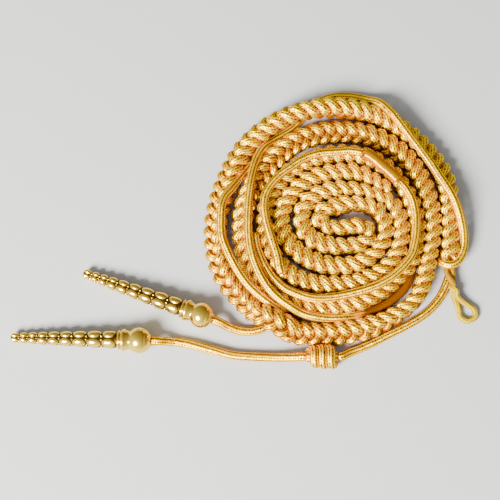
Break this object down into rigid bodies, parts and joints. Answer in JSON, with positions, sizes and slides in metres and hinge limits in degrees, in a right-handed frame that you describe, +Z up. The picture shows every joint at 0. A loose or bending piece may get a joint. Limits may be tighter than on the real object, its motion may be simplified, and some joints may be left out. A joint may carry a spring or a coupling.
{
  "type": "aiguillette",
  "caption": "Braided ceremonial shoulder cord, coiled flat: a three-strand gold plait, thin cords over it, a knot, a button loop and tapered metal points.",
  "frame": {"origin": "on the surface that it lies on, below the middle of the whole thing's outline", "axes": "+X from the metal points towards the button loop, +Y across the coil away from the viewer, +Z up"},
  "size_m": [0.2722, 0.172, 0.0193],
  "materials": {
    "plait_gold": "metallic-thread plait, satin",
    "cord_gold": "metallic-thread knitted cord, satin",
    "silk": "glossy silk winding",
    "yellow_cord": "matt yellow cord",
    "polished_gold": "polished, chased"
  },
  "bodies": {
    "root": {"plait_outer_turns": "plait_gold", "plait_inner_coil": "plait_gold", "outer_cord": "cord_gold", "inner_cord": "cord_gold", "inner_cord_return": "cord_gold", "bridging_cord": "cord_gold", "silk_sleeve": "silk", "upper_tail_cord": "cord_gold", "lower_tail_cord": "cord_gold", "lower_tail_end": "cord_gold", "button_loop": "yellow_cord", "barrel_knot": "cord_gold", "upper_ferrule": "polished_gold", "lower_ferrule": "polished_gold"}
  },
  "joints": []
}
